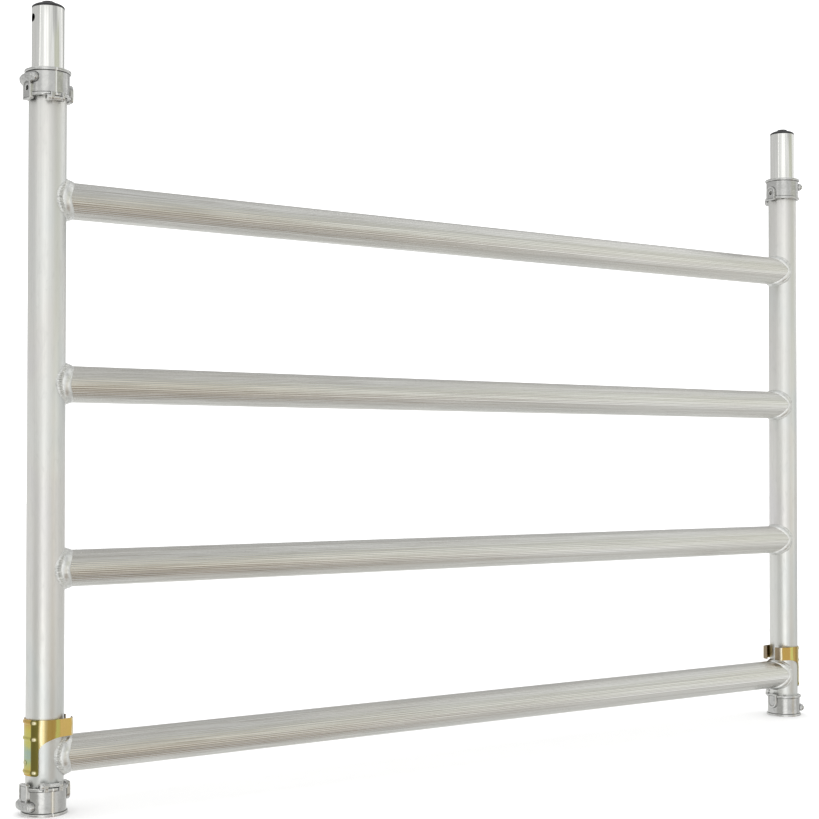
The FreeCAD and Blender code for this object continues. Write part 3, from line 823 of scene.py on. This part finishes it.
def strip_low(distance_from_edge):
    """The strip's lower end, its corners rounded."""
    if distance_from_edge >= STRIP_CORNER:
        return CLIP_LOW
    inset = STRIP_CORNER - distance_from_edge
    return CLIP_LOW + STRIP_CORNER - math.sqrt(STRIP_CORNER ** 2 - inset ** 2)


def rib_rise(angle, height):
    """How far the pressed ribs stand out here; their ends are rounded."""
    rise = 0.0
    for rib in RIB_HEIGHTS:
        beyond = max(0.0, abs(angle) - RIB_HALF_ANGLE) * CLIP_BORE
        distance = math.hypot(beyond, height - rib) / RIB_HALF_WIDTH
        if distance < 1:
            rise = RIB_PROUD * (1 - distance ** 2) ** 1.5
    return rise


def clip_columns():
    """Signed stations from the rear lip round to the front lip."""
    front = half_plan()
    columns = [(place, heading, length, 1) for place, heading, length in front]
    rear = [(Vector((place.x, -place.y)), heading, length, -1) for place, heading, length in front[:0:-1]]
    return rear + columns


def row_heights(middle_x, length, is_strip):
    """Heights of a column's points by row number; the strip's rows go on below zero."""
    upper_low = WING_LOW if is_strip else lower_edge(middle_x)
    rows = {row: upper_low + (CLIP_HIGH - upper_low) * row / UPPER_ROWS for row in range(UPPER_ROWS + 1)}
    if is_strip:
        edge_length = math.acos(STRIP_EDGE / (CLIP_BORE + CLIP_THICKNESS / 2)) * CLIP_BORE
        low = strip_low(max(0.0, edge_length - length))
        for row in range(1, LOWER_ROWS + 1):
            rows[-row] = WING_LOW + (low - WING_LOW) * row / LOWER_ROWS
    return rows


def sheet_faces(index, column_count):
    """Both skins of the sheet and the strips that close its edges."""
    faces = []
    cells = [(n, row) for n in range(column_count - 1) for row in range(-LOWER_ROWS, UPPER_ROWS)
             if all((a, b, "in") in index for a in (n, n + 1) for b in (row, row + 1))]
    present = set(cells)
    for n, row in cells:
        ring = [(n, row), (n + 1, row), (n + 1, row + 1), (n, row + 1)]
        faces.append([index[a, b, "out"] for a, b in ring])
        faces.append([index[a, b, "in"] for a, b in ring[::-1]])
        borders = (((n, row - 1), ring[0], ring[1]), ((n + 1, row), ring[1], ring[2]),
                   ((n, row + 1), ring[2], ring[3]), ((n - 1, row), ring[3], ring[0]))
        for neighbour, a, b in borders:
            if neighbour not in present:
                faces.append([index[(*a, "out")], index[(*a, "in")], index[(*b, "in")], index[(*b, "out")]])
    return faces


def make_clip(name, side):
    """One bent and pressed sheet with real thickness, from lip to lip."""
    points, marks, index = [], [], {}
    columns = clip_columns()
    for number, (place, heading, length, hand) in enumerate(columns):
        outward = Vector((-math.sin(heading), math.cos(heading) * hand))
        middle_x = place.x + outward.x * CLIP_THICKNESS / 2
        angle = length / CLIP_BORE
        is_strip = middle_x >= STRIP_EDGE and angle < STRIP_REACH
        for row, height in row_heights(middle_x, length, is_strip).items():
            rise = rib_rise(angle, height) if is_strip else 0.0
            for face, offset in (("in", 0.0), ("out", CLIP_THICKNESS)):
                spot = place + outward * (offset + rise)
                index[number, row, face] = len(points)
                points.append((spot.x, spot.y, height))
                marks.append((length, height, rise / RIB_PROUD))
    clip = add_mesh(name + "_clip_sheet", points, sheet_faces(index, len(columns)))
    attribute = clip.data.attributes.new("sheet_place", "FLOAT_VECTOR", "POINT")
    attribute.data.foreach_set("vector", np.array(marks, np.float32).ravel())
    face_outward(clip)
    on_leg(clip, side)
    smooth(clip, 40)
    clip.data.materials.append(FINISHES["clip_spring_steel"])
    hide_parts(name + "_clip_band", name + "_clip_tongue")
    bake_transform(clip)


PIN_RADIUS = mm(3.5)
PIN_TIP = mm(15.5)
PIN_TIP_RADIUS = mm(2.3)
PIN_NOSE_END = mm(16.7)
PIN_SHOULDER = mm(24.6)
PIN_NECK = mm(2.4)
PIN_SEGMENTS = 48
# The peened head from its edge to its dished middle: radius, and height over the sheet.
RIVET_HEAD = ((3.5, 0), (3.65, 0.3), (3.4, 0.8), (2.9, 1.1), (2.2, 1.15), (1.7, 0.8), (0.9, 0.55), (0, 0.5))


def make_lock_pin(name, side):
    """The pin with its bevelled nose and a peened rivet head."""
    outer = CLIP_BORE + CLIP_THICKNESS
    profile = [(0, PIN_TIP), (PIN_TIP_RADIUS, PIN_TIP), (PIN_RADIUS, PIN_NOSE_END),
               (PIN_RADIUS, PIN_SHOULDER), (PIN_NECK, PIN_SHOULDER), (PIN_NECK, outer)]
    profile += [(mm(radius), outer + mm(rise)) for radius, rise in RIVET_HEAD]
    pin = lathe(name + "_lock_pin", profile, PIN_SEGMENTS)
    pin.data.transform(Matrix.Rotation(math.pi / 2, 4, "Y"))
    on_leg(pin, side, LOCK_HEIGHT)
    smooth(pin, 40)
    put(pin, name + "_clip", FINISHES["lock_pin_steel"], "lock_pin_steel", name + "_clip_lock_pin")


# ---- Build ----

for leg_name, leg_side in SIDES:
    make_leg(leg_name, leg_side)
    make_spigot(leg_name, leg_side)
    make_bung(leg_name, leg_side)
    make_clip(leg_name, leg_side)
    make_lock_pin(leg_name, leg_side)
    for place_name in PLACES:
        make_collar(leg_name, place_name)
        make_collar_screw(leg_name, leg_side, place_name)

for rung_number, rung_node in enumerate(RUNGS):
    make_rung(rung_node)
    make_welds(rung_node, rung_number)

for part in frame["record"]["subparts"]:
    shown = frame["nodes"][part["node"]]
    shown.data.materials.clear()
    shown.data.materials.append(FINISHES[part["material_slot"]])


# ---- Studio ----

FLOOR_REACH = 14.0
ROOM_GREY = (0.82, 0.825, 0.81, 1)
ROOM_STRENGTH = 1.4


def make_floor():
    """A plain pale floor with a very faint mottle."""
    f = Finish("floor_pale", 0.0)
    mottle = f.noise((1.5, 1.5, 1.5), 3)
    colour = f.ramp(mottle, [(0.3, (0.93, 0.93, 0.93)), (0.7, (0.96, 0.96, 0.96))])
    material = f.done(colour, f.between(mottle, 0.3, 0.7, 0.85, 0.95), f.relief(mottle, mm(0.1), 0.05))
    far = FLOOR_REACH
    corners = [(-far, -far, 0), (far, -far, 0), (far, far, 0), (-far, far, 0)]
    floor = add_mesh("floor", corners, [(0, 1, 2, 3)])
    floor.data.materials.append(material)
    floor.visible_glossy = False


class Studio:
    """The room: plain white to the eye, with grey and warm panels that only gloss picks up."""

    def __init__(self):
        world = bpy.data.worlds.new("studio")
        bpy.context.scene.world = world
        world.use_nodes = True
        self.tree = world.node_tree
        self.tree.nodes.clear()
        direction = self.tree.nodes.new("ShaderNodeTexCoord").outputs["Generated"]
        parts = self.tree.nodes.new("ShaderNodeSeparateXYZ")
        self.tree.links.new(direction, parts.inputs[0])
        front = self.maths("MULTIPLY", parts.outputs[1], -1.0)
        self.bearing = self.maths("ARCTAN2", parts.outputs[0], front)
        self.rise = self.maths("ARCSINE", parts.outputs[2], 0.0)
        self.colour = None

    def maths(self, operation, first, second):
        node = self.tree.nodes.new("ShaderNodeMath")
        node.operation = operation
        for socket, source in zip(node.inputs, (first, second)):
            if isinstance(source, bpy.types.NodeSocket):
                self.tree.links.new(source, socket)
            else:
                socket.default_value = source
        return node.outputs["Value"]

    def window(self, value, low, high, soft):
        """1 between two angles in degrees, fading over soft degrees outside them."""
        edges = []
        for outside, inside in ((low - soft, low), (high + soft, high)):
            fade = self.tree.nodes.new("ShaderNodeMapRange")
            fade.interpolation_type = "SMOOTHSTEP"
            self.tree.links.new(value, fade.inputs["Value"])
            fade.inputs["From Min"].default_value = math.radians(outside)
            fade.inputs["From Max"].default_value = math.radians(inside)
            edges.append(fade.outputs["Result"])
        return self.maths("MULTIPLY", edges[0], edges[1])

    def panel(self, bearings, rises, colour, soft=6.0):
        """Adds a coloured panel between two bearings and two heights, in degrees."""
        share = self.maths("MULTIPLY", self.window(self.bearing, *bearings, soft),
                           self.window(self.rise, *rises, soft))
        mix = self.tree.nodes.new("ShaderNodeMix")
        mix.data_type = "RGBA"
        self.tree.links.new(share, mix.inputs[0])
        if self.colour is not None:
            self.tree.links.new(self.colour, mix.inputs[COLOUR_A])
        else:
            mix.inputs[COLOUR_A].default_value = ROOM_GREY
        mix.inputs[COLOUR_B].default_value = (*colour, 1)
        self.colour = mix.outputs[COLOUR_MIXED]

    def finish(self, strength):
        plain = self.tree.nodes.new("ShaderNodeBackground")
        plain.inputs["Color"].default_value = (1, 1, 1, 1)
        plain.inputs["Strength"].default_value = strength
        panels = self.tree.nodes.new("ShaderNodeBackground")
        self.tree.links.new(self.colour, panels.inputs["Color"])
        path = self.tree.nodes.new("ShaderNodeLightPath")
        choose = self.tree.nodes.new("ShaderNodeMixShader")
        self.tree.links.new(path.outputs["Is Glossy Ray"], choose.inputs[0])
        self.tree.links.new(plain.outputs[0], choose.inputs[1])
        self.tree.links.new(panels.outputs[0], choose.inputs[2])
        out = self.tree.nodes.new("ShaderNodeOutputWorld")
        self.tree.links.new(choose.outputs[0], out.inputs["Surface"])


def make_studio():
    studio = Studio()
    studio.panel((-180, 180), (64, 90), (0.66, 0.67, 0.67), 10)        # ceiling
    studio.panel((110, 180), (10, 58), (0.52, 0.52, 0.51), 10)         # dim wall behind, right
    studio.panel((-180, -90), (8, 50), (0.60, 0.60, 0.59), 4)          # dim wall behind, left
    studio.panel((56, 116), (-60, 2), (0.66, 0.66, 0.64), 10)          # low wall on the right
    studio.panel((-96, -58), (-36, -5), (0.52, 0.52, 0.49), 8)         # grey flag, low on the left
    studio.panel((-48, -26), (-34, -8), (1.50, 1.50, 1.47), 7)         # low key light
    studio.panel((-50, -22), (9, 34), (1.18, 1.18, 1.16), 7)           # high key light
    studio.panel((16, 30), (-16, 3), (0.76, 0.71, 0.60), 6)            # warm wall behind the camera
    studio.panel((12, 44), (-54, -26), (0.34, 0.28, 0.22), 7)          # brown boards below it
    studio.panel((34, 50), (-6, 6), (1.10, 1.10, 1.07), 6)             # soft box
    studio.panel((26, 62), (10, 26), (0.58, 0.59, 0.50), 5)            # olive drape, high on the right
    studio.panel((14, 48), (30, 56), (0.50, 0.50, 0.49), 6)            # grey wall above it
    studio.panel((-85, -81), (6, 60), (1.25, 1.25, 1.22), 2)           # strip lights
    studio.panel((93, 98), (5, 60), (1.30, 1.30, 1.27), 2)
    studio.finish(ROOM_STRENGTH)


CAMERA_PLACE = (-1.54374, -2.03145, 0.47528)
CAMERA_TURN = (0.60879, 0.01747, 0.00102)
CAMERA_LENS = 69.57
CAMERA_SENSOR = 36.0
CAMERA_SHIFT = 0.0271


def make_camera():
    """The camera at about knee height, in front of the left leg."""
    data = bpy.data.cameras.new("camera")
    data.lens = CAMERA_LENS
    data.sensor_width = CAMERA_SENSOR
    data.shift_y = CAMERA_SHIFT
    camera = bpy.data.objects.new("camera", data)
    bpy.context.scene.collection.objects.link(camera)
    camera.location = CAMERA_PLACE
    yaw, pitch, roll = CAMERA_TURN
    look = Vector((math.sin(yaw) * math.cos(pitch), math.cos(yaw) * math.cos(pitch), math.sin(pitch)))
    camera.rotation_mode = "QUATERNION"
    camera.rotation_quaternion = look.to_track_quat("-Z", "Y") @ Matrix.Rotation(roll, 4, "Z").to_quaternion()
    bpy.context.scene.camera = camera


make_floor()
make_studio()
make_camera()
bpy.context.scene.view_settings.view_transform = "Standard"
